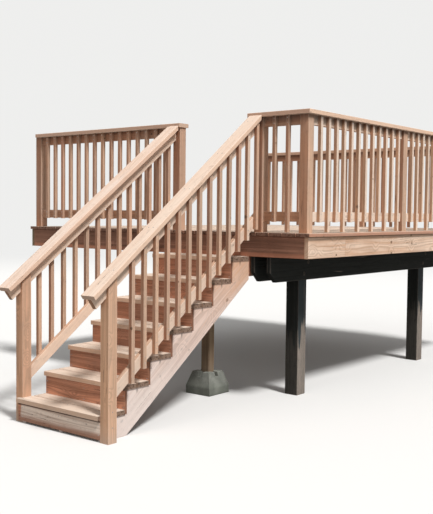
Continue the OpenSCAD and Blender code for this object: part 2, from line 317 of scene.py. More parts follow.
def mesh_object(name, bm, material):
    """Turns a bmesh into an object."""
    mesh = bpy.data.meshes.new(name)
    bm.to_mesh(mesh)
    bm.free()
    mesh.materials.append(material)
    return new_object(name, mesh)


def make_piece(name, bm, finish):
    """Turns a bmesh into a piece of the object that rides on the frame."""
    obj = mesh_object(name, bm, finish_material(finish))
    SLOT_OF.get(finish, finish)
    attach(obj, BODY)
    return obj


def board_place(centre, along, across):
    """A board's own axes: grain along X, width along Y, thickness along Z."""
    x = Vector(along).normalized()
    y = Vector(across)
    y = (y - x * x.dot(y)).normalized()
    z = x.cross(y)
    place = Matrix((x, y, z)).transposed().to_4x4()
    place.translation = Vector(centre)
    return place


def bevel(work, edges, radius, segments):
    bmesh.ops.bevel(
        work, geom=edges, offset=radius, offset_type="OFFSET", segments=segments, profile=0.5,
        affect="EDGES", clamp_overlap=True, material=-1)


def ease_edges(work, place, radius):
    """Rounds the long edges, as a planer leaves them."""
    along = place.col[0].to_3d()
    shortest, parallel, sharp = 4 * radius, 0.97, 0.6
    edges = []
    for e in work.edges:
        line = e.verts[1].co - e.verts[0].co
        if len(e.link_faces) != 2 or line.length < shortest:
            continue
        if abs(line.normalized().dot(along)) > parallel and e.is_convex and e.calc_face_angle(0) > sharp:
            edges.append(e)
    if edges:
        bevel(work, edges, radius, 2)


def cut_through(work, point, away, **settings):
    """Cuts every face that a plane crosses."""
    geom = list(work.verts) + list(work.edges) + list(work.faces)
    return bmesh.ops.bisect_plane(
        work, geom=geom, plane_co=point, plane_no=away, dist=1e-6, **settings)


def add_stations(work, place, half, spacing):
    """Cuts loops across the board, so that it can bow."""
    count = int(2 * half[0] / spacing)
    along = place.col[0].to_3d()
    for i in range(1, count):
        cut_through(work, place.translation + along * half[0] * (2 * i / count - 1), along)


def bow_board(work, place, half, most, rng):
    """Bends a board a little between its ends, sideways and out of its face. A short board bends less."""
    out_of_face, short_half, short_share = 0.6, 0.4, 0.4
    side = rng.uniform(-1, 1) * most
    face = rng.uniform(-1, 1) * most * out_of_face
    if half[0] < short_half:
        side *= short_share
        face *= short_share
    y, z = place.col[1].to_3d(), place.col[2].to_3d()
    inverse = place.inverted()
    for v in work.verts:
        t = (inverse @ v.co).x / half[0]
        lift = max(0.0, 1 - t * t)
        moved = v.co + (y * side + z * face) * lift
        v.co = [min(max(moved[i], CAD_LOW[i]), CAD_HIGH[i]) for i in range(3)]


def plain_board(place, half, cuts):
    """A sawn board as a closed bmesh."""
    work = bmesh.new()
    bmesh.ops.create_cube(work, size=2.0)
    bmesh.ops.scale(work, vec=half, verts=work.verts)
    bmesh.ops.transform(work, matrix=place, verts=work.verts)
    for point, away in cuts:
        made = cut_through(work, point, away, clear_outer=True)["geom_cut"]
        rim = [g for g in made if isinstance(g, bmesh.types.BMEdge)]
        bmesh.ops.holes_fill(work, edges=rim, sides=0)
    bmesh.ops.recalc_face_normals(work, faces=work.faces)
    return work


def node_solids(node):
    """The solids of a CAD node, each as a merged bmesh, lowest corner first."""
    whole = bmesh.new()
    whole.from_mesh(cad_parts[node].data)
    bmesh.ops.remove_doubles(whole, verts=whole.verts, dist=WELD)
    bmesh.ops.dissolve_limit(whole, angle_limit=0.01, verts=whole.verts, edges=whole.edges)
    whole.verts.ensure_lookup_table()
    seen = set()
    groups = []
    for start in whole.verts:
        if start.index in seen:
            continue
        group, todo = set(), [start]
        while todo:
            v = todo.pop()
            if v.index in group:
                continue
            group.add(v.index)
            todo.extend(e.other_vert(v) for e in v.link_edges)
        seen |= group
        low = min(tuple(round(c, 4) for c in whole.verts[i].co) for i in group)
        groups.append((low, group))
    solids = []
    for _, group in sorted(groups, key=lambda g: g[0]):
        one = whole.copy()
        gone = [v for v in one.verts if v.index not in group]
        bmesh.ops.delete(one, geom=gone, context="VERTS")
        solids.append(one)
    whole.free()
    return solids


def bounds_of(points):
    """Lowest and highest corner of some points."""
    points = list(points)
    return [Vector([pick(p[i] for p in points) for i in range(3)]) for pick in (min, max)]


def solid_frame(solid):
    """A solid's own axes and half sizes, from its longest edge and its largest face."""
    longest = max(solid.edges, key=lambda e: e.calc_length())
    along = (longest.verts[1].co - longest.verts[0].co).normalized()
    if along.dot(Vector((1, 1, 1))) < 0:
        along = -along
    flat = [f for f in solid.faces if abs(f.normal.dot(along)) < 0.1]
    widest = max(flat, key=lambda f: f.calc_area())
    place = board_place((0, 0, 0), along, widest.normal.cross(along))
    inverse = place.inverted()
    low, high = bounds_of(inverse @ v.co for v in solid.verts)
    place.translation = place @ ((low + high) / 2)
    return place, (high - low) / 2


def show_newel(solid):
    """Shortens a board where it passes in front of the left newel."""
    low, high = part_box("newel_left")
    touching = low.x + WELD * 20
    for v in solid.verts:
        if v.co.x < touching and v.co.y > low.y:
            v.co.y = min(v.co.y, high.y - lumber().newel_reveal)


def dress_node(node):
    """Replaces a CAD node by the same boards with eased edges and grain."""
    piece = BoardPiece(f"{node}_boards")
    for solid in node_solids(node):
        if node in ("tread_1", "riser_boards"):
            show_newel(solid)
        place, half = solid_frame(solid)
        piece.add(solid, place, half, TONE_OF.get(node))
    piece.finish(FINISH_OF[node], node)


# railing panels


def solid_box(solid):
    """Lowest and highest corner of one solid, which is freed."""
    box = bounds_of(v.co for v in solid.verts)
    solid.free()
    return box


def across_bay(low, high, axis, outward, thickness, outer):
    """Middle of the rails (outer False) or of the balusters (outer True) across a bay."""
    if outer == (outward > 0):
        return high[axis] - thickness / 2
    return low[axis] + thickness / 2


class DeckBay:
    """One bay of a deck railing, between two posts."""

    def __init__(self, box, panels, count, first_long):
        self.low, self.high = box
        self.axis, self.outward = panels.axis, panels.outward
        self.count, self.first_long = count, first_long

    def point(self, along, across, z):
        """A point, from its places along the bay and across it and its height."""
        return Vector((across, along, z) if self.axis else (along, across, z))

    def across(self, thickness, outer):
        return across_bay(self.low, self.high, 1 - self.axis, self.outward, thickness, outer)

    def rail_heights(self):
        """Middles of the bottom and the upper rail."""
        width = lumber().rail_width
        return self.low.z + BOTTOM_RAIL_LIFT + width / 2, self.high.z - width / 2

    def baluster_middles(self):
        """Middles of balusters spread evenly between the posts."""
        side, count = lumber().baluster, self.count
        start, end = self.low[self.axis], self.high[self.axis]
        gap = (end - start - count * side) / (count + 1)
        return [start + gap + side / 2 + i * (gap + side) for i in range(count)]

    def baluster_foot(self, i):
        """Where the baluster ends below: at the deck, or just past the bottom rail."""
        if self.first_long is not None and (i - self.first_long) % 2 == 0:
            return self.low.z
        return self.low.z + BOTTOM_RAIL_LIFT - BALUSTER_PAST_RAIL


def deck_bays(node):
    panels = DECK_PANELS[node]
    numbers = getattr(bpy.context.scene.deck_railing, panels.setting)
    return [
        DeckBay(solid_box(solid), panels, count, first)
        for solid, count, first in zip(node_solids(node), numbers, panels.first_long)]


def dress_deck_panels(node):
    """The rails and balusters of one of the deck's railings."""
    sizes = lumber()
    plank, width, square = sizes.plank, sizes.rail_width, sizes.baluster
    piece = BoardPiece(f"{node}_boards")
    for bay in deck_bays(node):
        along = bay.point(1, 0, 0)
        start, end, top = bay.low[bay.axis], bay.high[bay.axis], bay.high.z
        for z, tone in zip(bay.rail_heights(), (RAIL_TONE, None)):
            centre = bay.point((start + end) / 2, bay.across(plank, False), z)
            piece.saw(centre, along, UP, (end - start, width, plank), tone=tone)
        for i, at in enumerate(bay.baluster_middles()):
            foot = bay.baluster_foot(i)
            centre = bay.point(at, bay.across(square, True), (foot + top) / 2)
            piece.saw(centre, UP, along, (top - foot, square, square))
    piece.finish(DECK_PANELS[node].finish, node)


class StairRailing:
    """A stair railing's lines, in the axes that it was set out in before its small turn."""

    def __init__(self, panel, cap, newel, outward, first_baluster, turned):
        layout = bpy.context.scene.deck_railing
        self.panel, self.cap, self.newel, self.outward = panel, cap, newel, outward
        self.first_baluster = first_baluster
        self.slope = layout.slope
        self.factor = math.sqrt(1 + self.slope ** 2)
        self.along = Vector((1, 0, self.slope)) / self.factor
        self.up = Vector((-self.slope, 0, 1)) / self.factor
        self.turn = Matrix.Identity(4)
        if turned:
            low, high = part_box(newel)
            pivot = Matrix.Translation((low + high) / 2)
            self.turn = pivot @ Matrix.Rotation(-layout.left_turn, 4, "Z") @ pivot.inverted()
        self.low, self.high = self.box(panel)
        self.back = self.box(newel)[1].x
        self.toe = self.box(cap)[0].x

    def box(self, node):
        """A node's lowest and highest corners before the turn."""
        back = self.turn.inverted()
        return bounds_of(back @ v.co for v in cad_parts[node].data.vertices)

    def under_cap(self, x):
        return self.high.z + self.slope * (x - self.high.x)

    def rail_foot(self, x):
        return self.low.z + self.slope * (x - self.back)

    def baluster_edges(self):
        """Low x edge of each baluster, from the top down."""
        layout = bpy.context.scene.deck_railing
        first = self.high.x - self.first_baluster
        return [first - i * layout.stair_spacing for i in range(layout.stair_count)]

    def turned_place(self, point, normal):
        return self.turn @ Vector(point), self.turn.to_3x3() @ Vector(normal)


def stair_railings():
    return [StairRailing(*values) for values in STAIR_RAILINGS]


def dress_stair_panel(railing):
    """The rails and balusters of one of the stairs' railings."""
    sizes = lumber()
    plank, width, square = sizes.plank, sizes.rail_width, sizes.baluster
    low, high, factor = railing.low, railing.high, railing.factor
    rail_y = across_bay(low, high, 1, railing.outward, plank, False)
    piece = BoardPiece(f"{railing.panel}_boards")

    depth = width / 2 * factor
    toe_cut = ((railing.toe, rail_y, railing.under_cap(railing.toe) + plank * factor), -railing.along)
    back_cut = ((railing.back, rail_y, low.z), (-1, 0, 0))
    runs = (
        (railing.toe, lambda x: railing.under_cap(x) - depth, toe_cut),
        (railing.back, lambda x: railing.rail_foot(x) + depth, back_cut),
    )
    for start, rail_middle, cut in runs:
        x = (start + high.x) / 2
        size = ((high.x - start) * factor + 2 * width, width, plank)
        piece.saw(
            (x, rail_y, rail_middle(x)), railing.along, railing.up, size, (cut, (high, (1, 0, 0))),
            RAIL_TONE, railing.turn)

    y = across_bay(low, high, 1, railing.outward, square, True)
    for edge in railing.baluster_edges():
        bottom, top = railing.rail_foot(edge), railing.under_cap(edge + square)
        top_cut = ((edge, y, railing.under_cap(edge)), railing.up)
        piece.saw(
            (edge + square / 2, y, (bottom + top) / 2), UP, (1, 0, 0), (top - bottom, square, square),
            [top_cut], turn=railing.turn)
    piece.finish("railing_wood", railing.panel)


# footing block


def dress_pier():
    """The footing block with worn arrises, as a mould leaves it."""
    radius, sharp = 0.007, 0.3
    bm = bmesh.new()
    for solid in node_solids("pier_block"):
        take(bm, solid)
    bevel(bm, [e for e in bm.edges if e.is_convex and e.calc_face_angle(0) > sharp], radius, 3)
    obj = make_piece("pier_block_cast", bm, "concrete")
    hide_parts("pier_block")


# fixings


def set_fixings(name, template, places, finish="steel_fixings"):
    """Makes one piece of many like fixings. A place is a point on a face and the face's normal."""
    rng = random.Random(name)
    mesh = bpy.data.meshes.new("fixing")
    template.to_mesh(mesh)
    template.free()
    bm = bmesh.new()
    for point, normal in places:
        start = len(bm.verts)
        bm.from_mesh(mesh)
        bm.verts.ensure_lookup_table()
        matrix = (
            Matrix.Translation(point)
            @ Vector(normal).to_track_quat("Z", "Y").to_matrix().to_4x4()
            @ Matrix.Rotation(rng.uniform(0, math.tau), 4, "Z"))
        bmesh.ops.transform(bm, matrix=matrix, verts=bm.verts[start:])
    bpy.data.meshes.remove(mesh)
    make_piece(name, bm, finish)


def screw_head():
    """A flat head with a square socket, sunk nearly flush."""
    sizes = bpy.context.scene.deck_fixings
    radius, lift = sizes.screw_radius, sizes.screw_lift
    sunk, rim = 0.001, 0.45
    bm = bmesh.new()
    bmesh.ops.create_circle(bm, cap_ends=True, radius=radius, segments=8)
    bmesh.ops.translate(bm, vec=(0, 0, -sunk), verts=bm.verts)
    top = bmesh.ops.extrude_face_region(bm, geom=list(bm.faces))
    verts = [g for g in top["geom"] if isinstance(g, bmesh.types.BMVert)]
    bmesh.ops.translate(bm, vec=(0, 0, sunk + lift), verts=verts)
    face = max(bm.faces, key=lambda f: f.calc_center_median().z)
    bmesh.ops.inset_region(bm, faces=[face], thickness=radius * rim, depth=-lift)
    bmesh.ops.recalc_face_normals(bm, faces=bm.faces)
    return bm


def bolt_head():
    """A hexagon head on a round washer."""
    radius = bpy.context.scene.deck_fixings.bolt_radius
    bm = bmesh.new()
    # sides, radius below and above, thickness, height of the middle
    for sides, foot, top, depth, height in (
            (16, radius * 1.9, radius * 1.85, 0.0025, 0.0012),
            (6, radius, radius * 0.94, 0.0075, 0.0062)):
        bmesh.ops.create_cone(
            bm, cap_ends=True, segments=sides, radius1=foot, radius2=top, depth=depth,
            matrix=Matrix.Translation((0, 0, height)))
    return bm


def solid_boxes(*nodes):
    return [solid_box(s) for node in nodes for s in node_solids(node)]


def between(low, high, share):
    return low + (high - low) * share


def middle(box, axis):
    return (box[0][axis] + box[1][axis]) / 2


def inside(x, y, boxes, room):
    return any(
        low.x - room < x < high.x + room and low.y - room < y < high.y + room for low, high in boxes)


def tread_screws():
    """Two screws through each board of the steps into each stringer."""
    lines = [middle(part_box(n), 1) for n in ("stringer_right", "stringer_middle", "stringer_left")]
    tread_pair, riser_pair = (0.24, 0.76), (0.25, 0.75)
    for low, high in solid_boxes(*(f"tread_{k}" for k in range(1, 8))):
        for y, share in product(lines, tread_pair):
            yield (between(low.x, high.x, share), y, high.z), UP
    for low, high in solid_boxes("riser_boards"):
        for y, share in product(lines, riser_pair):
            yield (low.x, y, between(low.z, high.z, share)), (-1, 0, 0)


def deck_screws():
    """Two screws through each deck board into each joist and end rim, clear of the posts."""
    posts = solid_boxes("front_posts", "side_posts", "stair_post_right", "stair_post_left")
    lines = [middle(b, 0) for b in solid_boxes("end_rim_left", "joists", "end_rim_right")]
    pair, room = (0.22, 0.78), 0.012
    for low, high in solid_boxes("deck_boards"):
        for x, share in product(lines, pair):
            y = between(low.y, high.y, share)
            if not inside(x, y, posts, room):
                yield (x, y, high.z), UP


def rail_screws():
    """Two screws through each baluster into each rail."""
    sizes = lumber()
    deck_pair, stair_pair = (-0.022, 0.022), (-0.024, 0.024)
    for bay in [bay for node in DECK_PANELS for bay in deck_bays(node)]:
        face = (bay.high if bay.outward > 0 else bay.low)[1 - bay.axis]
        for at, z, off in product(bay.baluster_middles(), bay.rail_heights(), deck_pair):
            yield bay.point(at, face, z + off), bay.point(0, bay.outward, 0)
    for railing in stair_railings():
        face = (railing.high if railing.outward > 0 else railing.low).y
        depth = sizes.rail_width / 2 * railing.factor
        for edge in railing.baluster_edges():
            x = edge + sizes.baluster / 2
            heights = (railing.under_cap(x) - depth, railing.rail_foot(x) + depth)
            for z, off in product(heights, stair_pair):
                yield railing.turned_place((x, face, z + off), (0, railing.outward, 0))


def cap_screws():
    """Pairs of screws down through the caps into the rails."""
    lift = bpy.context.scene.deck_fixings.screw_lift
    pair = (0.32, 0.68)
    spacing, end_room, margin = 0.6, 0.16, 0.15
    for node in ("cap_front", "cap_short", "cap_left", "cap_right"):
        low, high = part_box(node)
        axis = 0 if high.x - low.x > high.y - low.y else 1
        other = 1 - axis
        count = max(2, round((high[axis] - low[axis] - end_room) / spacing) + 1)
        for i, share in product(range(count), pair):
            point = Vector((0, 0, high.z - lift))
            point[axis] = between(low[axis] + margin, high[axis] - margin, i / (count - 1))
            point[other] = between(low[other], high[other], share)
            yield point, UP
    stair_pairs, top_margin, stair_spacing = 5, 0.08, 0.43
    for railing in stair_railings():
        low, high = railing.box(railing.cap)
        for i, share in product(range(stair_pairs), pair):
            x = high.x - top_margin - i * stair_spacing
            z = high.z + railing.slope * (x - high.x)
            yield railing.turned_place((x, between(low.y, high.y, share), z), railing.up)


def frame_screws():
    """Screws through the rims into the joists, and through the newels into the stringers."""
    front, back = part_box("front_rim"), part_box("ledger")
    shares, newel_heights = (0.2, 0.5, 0.8), (0.12, 0.24)
    for box, share in product(solid_boxes("joists"), shares):
        yield (middle(box, 0), front[0].y, between(front[0].z, front[1].z, share)), (0, -1, 0)
    for railing in stair_railings():
        box = railing.box(railing.newel)
        for z in newel_heights:
            point = (middle(box, 0), box[railing.outward > 0].y, box[0].z + z)
            yield railing.turned_place(point, (0, railing.outward, 0))
    half_plank, slack = lumber().plank / 2, 0.001
    for node, side in (("end_rim_left", 0), ("end_rim_right", 1)):
        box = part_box(node)
        for y, share in product((front[0].y + half_plank, back[1].y - half_plank), shares):
            if box[0].y - slack < y < box[1].y + slack:
                yield (box[side].x, y, between(box[0].z, box[1].z, share)), (2 * side - 1, 0, 0)


# what gives the places of each piece made of screws
SCREWS = {
    "tread_screws": tread_screws, "deck_screws": deck_screws, "railing_screws": rail_screws,
    "cap_screws": cap_screws, "frame_screws": frame_screws}


def beam_bolts():
    """Bolts through both planks of the beam and the posts between them."""
    low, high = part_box("beam_planks")
    # sideways from the post's middle, and up from the beam's foot
    pattern = ((-0.035, 0.06), (0.035, 0.17))
    for post in ("beam_post_left", "beam_post_right"):
        x = middle(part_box(post), 0)
        for dx, z in pattern:
            yield (x + dx, low.y, low.z + z), (0, -1, 0)
            yield (x + dx, high.y, low.z + z), (0, 1, 0)


def joist_hangers():
    """A folded steel hanger under each joist's end at the ledger."""
    sheet = bpy.context.scene.deck_fixings.sheet
    bm = bmesh.new()
    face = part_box("ledger")[0].y
    depth, tab, height = 0.045, 0.032, 0.15

    def plate(low, high):
        made = bmesh.ops.create_cube(bm, size=1.0)["verts"]
        low, high = Vector(low), Vector(high)
        bmesh.ops.scale(bm, vec=high - low, verts=made)
        bmesh.ops.translate(bm, vec=(low + high) / 2, verts=made)

    for low, high in solid_boxes("joists"):
        plate((low.x - sheet, face - depth, low.z - sheet), (high.x + sheet, face, low.z))
        for x, side in ((low.x, -1), (high.x, 1)):
            a, b = sorted((x, x + side * sheet))
            plate((a, face - depth, low.z - sheet), (b, face, low.z + height))
            a, b = sorted((x, x + side * tab))
            plate((a, face - sheet, low.z - sheet), (b, face, low.z + height))
    make_piece("joist_hangers", bm, "steel_fixings")


# shader helpers


class Tree:
    """Adds nodes to a tree and links them in one line each."""

    def __init__(self, tree):
        self.tree = tree

    def add(self, kind, inputs=(), **settings):
        node = self.tree.nodes.new(kind)
        for key, value in settings.items():
            setattr(node, key, value)
        for key, value in dict(inputs).items():
            self.put(node.inputs[key], value)
        return node

    def put(self, socket, value):
        if isinstance(value, bpy.types.NodeSocket):
            self.tree.links.new(value, socket)
        elif value is not None:
            socket.default_value = value

    def math(self, operation, a, b=None, clamp=False):
        node = self.add("ShaderNodeMath", operation=operation, use_clamp=clamp)
        self.put(node.inputs[0], a)
        self.put(node.inputs[1], b)
        return node.outputs[0]

    def times(self, *factors):
        value = factors[0]
        for factor in factors[1:]:
            value = self.math("MULTIPLY", value, factor)
        return value

    def plus(self, a, b, clamp=False):
        return self.math("ADD", a, b, clamp)

    def minus(self, a, b, clamp=False):
        return self.math("SUBTRACT", a, b, clamp)

    def stray(self, value, noise, reach, clamp=False):
        """Adds to a value as much as a noise strays from its middle."""
        return self.plus(value, self.times(self.minus(noise, 0.5), reach), clamp)

    def chance(self, tone, seed):
        """A number from 0 to 1 that differs from board to board."""
        return self.math("FRACT", self.times(tone, seed))

    def vector(self, operation, a, b=None, scale=None, result=0):
        node = self.add("ShaderNodeVectorMath", operation=operation)
        self.put(node.inputs[0], a)
        self.put(node.inputs[1], b)
        if scale is not None:
            self.put(node.inputs["Scale"], scale)
        return node.outputs[result]

    def stretch(self, a, factors):
        return self.vector("MULTIPLY", a, factors)

    def length(self, a):
        return self.vector("LENGTH", a, result=1)

    def split(self, a):
        return self.add("ShaderNodeSeparateXYZ", {"Vector": a}).outputs

    def join(self, x, y, z):
        return self.add("ShaderNodeCombineXYZ", {"X": x, "Y": y, "Z": z}).outputs[0]

    def ramp(self, value, low, high, to_low=0.0, to_high=1.0):
        node = self.add("ShaderNodeMapRange", {
            "Value": value, "From Min": low, "From Max": high, "To Min": to_low, "To Max": to_high},
            interpolation_type="SMOOTHSTEP")
        return node.outputs[0]

    def mix(self, share, a, b):
        node = self.add("ShaderNodeMix", data_type="RGBA")
        self.put(node.inputs[0], share)
        self.put(node.inputs[6], a)
        self.put(node.inputs[7], b)
        return node.outputs[2]

    def cover(self, colour, over, *masks):
        """Lays a colour over another one, as much as the product of the masks says."""
        return self.mix(self.times(*masks), colour, over)

    def noise(self, vector, scale=1.0, detail=2.0, roughness=0.5, result=0):
        node = self.add("ShaderNodeTexNoise", {
            "Vector": vector, "Scale": scale, "Detail": detail, "Roughness": roughness})
        return node.outputs[result]

    def own(self, name, result):
        node = self.add("ShaderNodeAttribute", attribute_type="GEOMETRY", attribute_name=name)
        return node.outputs[result]

    def where(self):
        return self.add("ShaderNodeTexCoord").outputs["Object"]

    def group(self, name, inputs=()):
        node = self.tree.nodes.new("ShaderNodeGroup")
        node.node_tree = shared_group(name)
        for key, value in dict(inputs).items():
            self.put(node.inputs[key], value)
        return node.outputs

    def surface(self, shader, colour, roughness, height, strength, distance):
        """Feeds a material's shader."""
        bump = self.add("ShaderNodeBump", {"Height": height, "Strength": strength, "Distance": distance})
        for name, value in (("Base Color", colour), ("Roughness", roughness), ("Normal", bump.outputs[0])):
            self.put(shader.inputs[name], value)

    def blend(self, share, a, b, output):
        """Feeds a mixture of two shaders to an output node."""
        node = self.add("ShaderNodeMixShader")
        for socket, value in zip(node.inputs, (share, a, b)):
            self.put(socket, value)
        self.put(output.inputs["Surface"], node.outputs[0])


def shared_group(name):
    """A node group by name, built the first time that it is asked for."""
    tree = bpy.data.node_groups.get(name)
    if tree is None:
        tree = bpy.data.node_groups.new(name, "ShaderNodeTree")
        GROUPS[name](tree)
    return tree


def socket_kind(name):
    return "NodeSocketVector" if name == "Place" else "NodeSocketFloat"


def group_sockets(tree, inputs, outputs):
    """Makes a group's sockets and returns its tree, its inner input and its inner output."""
    for name, default in inputs.items():
        socket = tree.interface.new_socket(name, in_out="INPUT", socket_type=socket_kind(name))
        if default is not None:
            socket.default_value = default
    for name in outputs:
        tree.interface.new_socket(name, in_out="OUTPUT", socket_type=socket_kind(name))
    start = tree.nodes.new("NodeGroupInput").outputs
    end = tree.nodes.new("NodeGroupOutput").inputs
    return Tree(tree), start, end


def build_board_place(tree):
    """Where a point lies in its own board, shifted from board to board, with ends and arrises as masks."""
    t, _, end = group_sockets(tree, {}, ("Place", "Tone", "End", "Arris"))
    own, half, tone = t.own("own", "Vector"), t.own("half", "Vector"), t.own("tone", "Fac")
    # boards of unlike tone read the grain's noises far apart, and are cut at unlike places round the pith
    shift = t.vector("SCALE", (37.0, 0.0, 0.0), scale=tone)
    pith = t.join(
        0.0,
        t.minus(t.times(t.chance(tone, 17.3), 0.16), 0.08),
        t.plus(t.times(t.chance(tone, 7.7), 0.10), 0.03))
    t.put(end["Place"], t.vector("ADD", t.vector("ADD", own, shift), pith))
    t.put(end["Tone"], tone)
    normal = t.add("ShaderNodeNewGeometry").outputs["True Normal"]
    facing = t.math("ABSOLUTE", t.vector("DOT_PRODUCT", normal, t.own("along", "Vector"), result=1))
    t.put(end["End"], t.ramp(facing, 0.5, 0.75))
    # an arris is near where two of the distances to the board's faces are small
    x, y, z = t.split(t.vector("SUBTRACT", half, t.vector("ABSOLUTE", own)))
    nearest = t.math("MAXIMUM", t.math("MINIMUM", x, y),
                     t.math("MAXIMUM", t.math("MINIMUM", y, z), t.math("MINIMUM", x, z)))
    reach = t.times(t.noise(own, scale=35.0, detail=3.0), 0.016)
    t.put(end["Arris"], t.minus(1.0, t.math("DIVIDE", nearest, reach), clamp=True))


# how finely each effect of the grain runs along a board, across it and through it
SWAY = (0.9, 7.0, 7.0)
KNOT_CELLS = (2.1, 12.0, 8.0)
# turns distances in those cells into metres, shorter through the board, as a knot runs out through it
KNOT_SHAPE = (0.36, 0.083, 0.065)
STREAKS = (0.7, 34.0, 34.0)
FIBRES = (9.0, 420.0, 420.0)
CRACKS = (2.2, 55.0, 55.0)
CRACKED_PLACES = (1.5, 9.0, 9.0)


def build_sawn_grain(tree):
    """Growth rings, streaks, fibres, knots and drying cracks of one sawn board."""
    t, start, end = group_sockets(
        tree, {"Place": None, "Ring": 0.006, "Knots": 0.5},
        ("Rings", "Streaks", "Fibres", "Knot", "Crack"))
    place = start["Place"]
    sway = t.noise(t.stretch(place, SWAY), detail=1.5, result=1)
    sway = t.stretch(t.vector("SUBTRACT", sway, (0.5, 0.5, 0.5)), (0.0, 0.075, 0.075))

    cells = t.stretch(place, KNOT_CELLS)
    knots = t.add("ShaderNodeTexVoronoi", {"Vector": cells, "Scale": 1.0, "Randomness": 1.0})
    away = t.vector("SUBTRACT", cells, knots.outputs["Position"])
    distance = t.length(t.stretch(away, KNOT_SHAPE))
    chance = t.split(knots.outputs["Color"])
    here = t.math("LESS_THAN", chance[0], start["Knots"])
    size = t.plus(t.times(chance[1], 0.011), 0.005)
    bend = t.times(here, t.ramp(distance, 0.07, 0.0, 0.0, 0.03))
    t.put(end["Knot"], t.times(here, t.ramp(t.math("DIVIDE", distance, size), 1.25, 0.75)))

    # the rings run round the pith, and bend round the knots
    _, y, z = t.split(t.vector("ADD", place, sway))
    radius = t.plus(t.length(t.join(0.0, y, z)), bend)
    turn = t.math("FRACT", t.math("DIVIDE", radius, start["Ring"]))
    t.put(end["Rings"], t.times(t.ramp(turn, 0.35, 0.88), t.ramp(turn, 1.0, 0.93)))

    wide = t.vector("ADD", t.stretch(place, STREAKS), t.vector("SCALE", sway, scale=30.0))
    t.put(end["Streaks"], t.noise(wide, detail=3.0, roughness=0.6))
    t.put(end["Fibres"], t.noise(t.stretch(place, FIBRES), detail=2.0, roughness=0.7))
    split = t.noise(t.stretch(place, CRACKS), detail=1.0)
    line = t.ramp(t.math("ABSOLUTE", t.minus(split, 0.5)), 0.010, 0.003)
    some = t.ramp(t.noise(t.stretch(place, CRACKED_PLACES), detail=1.0), 0.56, 0.66)
    t.put(end["Crack"], t.times(line, some))


def build_weather(tree):
    """Masks of where sun bleaches, rain silvers, the ground splashes, and light and shade are painted."""
    t, start, end = group_sockets(
        tree, {"Splash height": 0.25},
        ("Top", "Under", "Sunny", "Shady", "Nosing", "Capped", "Splash", "Blotch", "Dirt"))
    where = t.where()
    x, y, z = t.split(t.add("ShaderNodeNewGeometry").outputs["Normal"])
    height = t.split(where)[2]
    rim, cap = STEPS["rim_top"], STEPS["cap_low"]
    # downward faces and faces to -X are masks of painted shade, faces to -Y of painted sunlight, and the
    # strips below the deck boards' edge and below the caps of painted shadow
    for name, value, low, high in (
            ("Top", z, 0.35, 0.8), ("Under", z, -0.3, -0.8),
            ("Sunny", y, -0.4, -0.9), ("Shady", x, -0.4, -0.9),
            ("Nosing", height, rim - 0.014, rim - 0.005), ("Capped", height, cap - 0.085, cap - 0.010)):
        t.put(end[name], t.ramp(value, low, high))
    rough = t.noise(where, scale=7.0, detail=4.0, roughness=0.6)
    ragged = t.stray(t.minus(height, GROUND), rough, 0.22)
    t.put(end["Splash"], t.minus(1.0, t.math("DIVIDE", ragged, start["Splash height"]), clamp=True))
    t.put(end["Blotch"], t.noise(where, scale=2.6, detail=3.0, roughness=0.55))
    t.put(end["Dirt"], t.ramp(t.noise(where, scale=22.0, detail=5.0, roughness=0.7), 0.52, 0.74))


GROUPS = {"Board place": build_board_place, "Sawn grain": build_sawn_grain, "Weather": build_weather}


# finishes


def tint(colour, share=1.0):
    """A colour, lighter or darker by a share, as a socket takes it."""
    return tuple(c * share for c in colour[:3]) + (1.0,)


def start_material(name):
    material = bpy.data.materials.new(name)
    material.use_nodes = True
    return material, Tree(material.node_tree), material.node_tree.nodes["Principled BSDF"]


# marks darker than the stain: how much of the colour each takes, and how dark it is beside the dark tone;
# the mark on downward faces is painted shade
DARK_MARKS = {
    "Under": (0.4, 0.6), "End": (0.55, 0.6), "Knot": (0.85, 0.3), "Crack": (0.75, 0.2), "Dirt": (0.22, 0.4)}


def darken(t, colour, m, dark, names):
    """Lays dark marks over a colour, where their masks say."""
    for name in names:
        share, depth = DARK_MARKS[name]
        colour = t.cover(colour, tint(dark, depth), m[name], share)
    return colour


